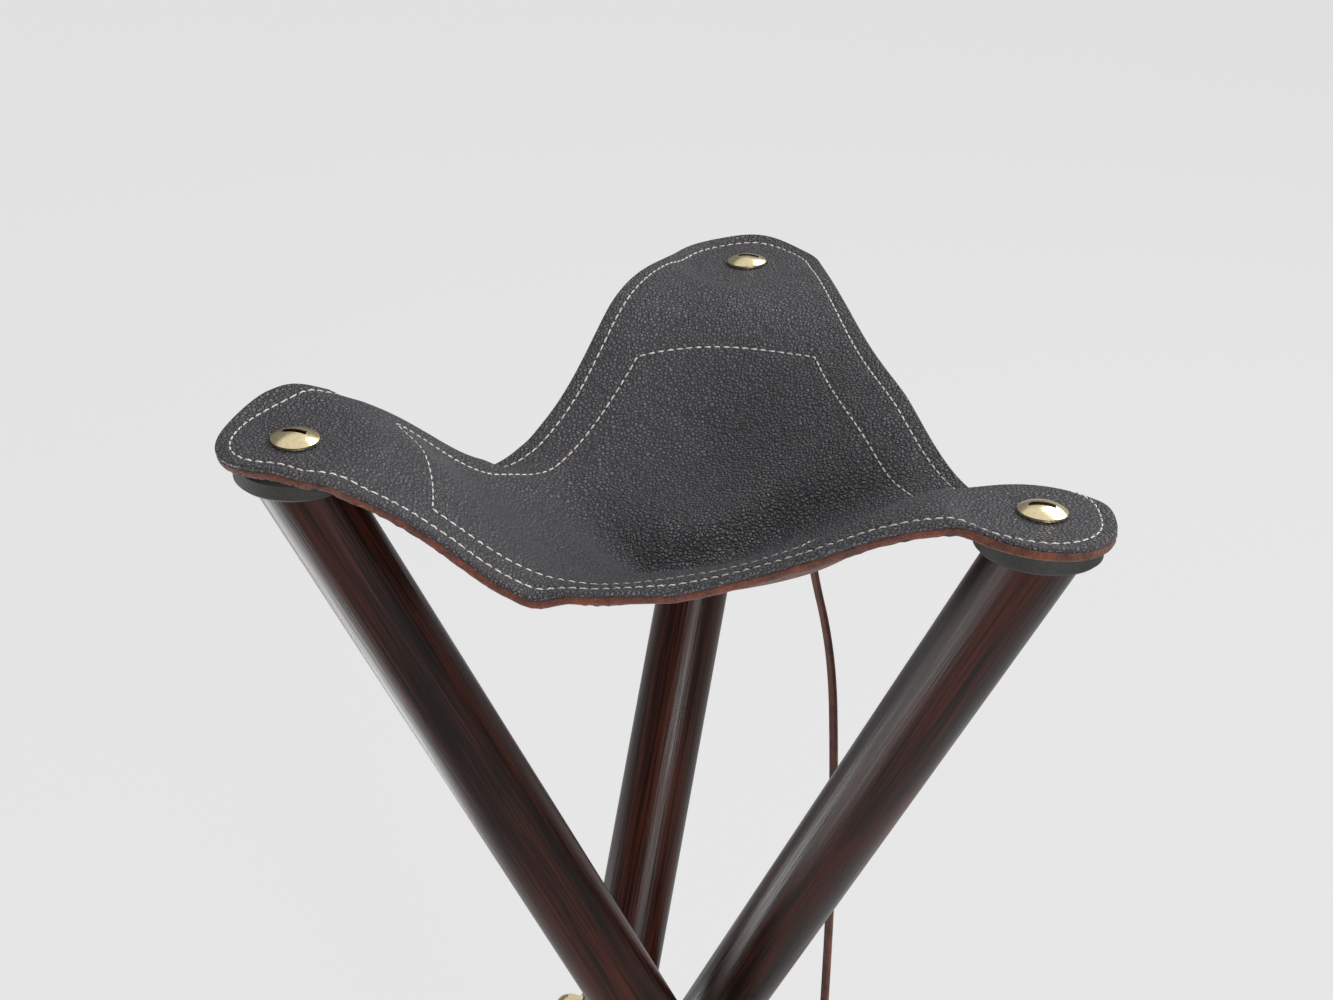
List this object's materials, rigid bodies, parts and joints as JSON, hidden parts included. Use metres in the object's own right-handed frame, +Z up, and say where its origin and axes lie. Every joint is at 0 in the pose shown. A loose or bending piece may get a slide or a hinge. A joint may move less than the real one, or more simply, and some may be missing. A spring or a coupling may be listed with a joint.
{
  "type": "folding tripod stool",
  "caption": "Folding tripod stool with a sewn leather sling seat on round stained wooden legs that turn on a pivot bolt where they cross.",
  "frame": {"origin": "on the floor, under the middle of the open stool's box", "axes": "+Z up from the feet to the seat; +Y towards the corner of the seat that is furthest from the viewer of the picture"},
  "size_m": [0.3408, 0.3534, 0.6345],
  "materials": {
    "stained_wood": "dark walnut stain under satin lacquer",
    "black_leather": "black pebbled grain, satin",
    "brown_leather": "red-brown, rough flesh side",
    "pad_rubber": "matt",
    "brass": "polished"
  },
  "bodies": {
    "seat_and_hub": {"seat_top_leather": "black_leather", "seat_base_leather": "brown_leather", "seat_under_panel": "brown_leather", "tie_lace": "brown_leather", "lace_rivet": "brass", "tri_bolt": "brass", "inner_washer_back": "brass", "outer_washer_back": "brass", "dome_nut_back": "brass", "inner_washer_left": "brass", "outer_washer_left": "brass", "dome_nut_left": "brass", "inner_washer_right": "brass", "outer_washer_right": "brass", "dome_nut_right": "brass"},
    "back_leg": {"leg_back": "stained_wood", "top_pad_back": "pad_rubber", "seat_screw_back": "brass"},
    "left_leg": {"leg_left": "stained_wood", "top_pad_left": "pad_rubber", "seat_screw_left": "brass"},
    "right_leg": {"leg_right": "stained_wood", "top_pad_right": "pad_rubber", "seat_screw_right": "brass"}
  },
  "joints": [
    {"name": "fold_back", "type": "hinge", "parent": "seat_and_hub", "child": "back_leg", "pos_m": [-0.03328, -0.00315, 0.31185], "axis": [0.9839, -0.1785, 0], "range_deg": [0, 27], "deforming": ["seat_top_leather", "seat_base_leather", "seat_under_panel"]},
    {"name": "fold_left", "type": "hinge", "parent": "seat_and_hub", "child": "left_leg", "pos_m": [0.00372, -0.03451, 0.31185], "axis": [-0.3374, 0.9414, 0], "range_deg": [0, 27], "deforming": ["seat_top_leather", "seat_base_leather", "seat_under_panel"]},
    {"name": "fold_right", "type": "hinge", "parent": "seat_and_hub", "child": "right_leg", "pos_m": [0.01237, 0.01321, 0.31185], "axis": [-0.6465, -0.7629, 0], "range_deg": [0, 27], "deforming": ["seat_top_leather", "seat_base_leather", "seat_under_panel"]}
  ],
  "couplings": [
    {"joint": "fold_left", "follows": "fold_back", "ratio": 1},
    {"joint": "fold_right", "follows": "fold_back", "ratio": 1}
  ]
}
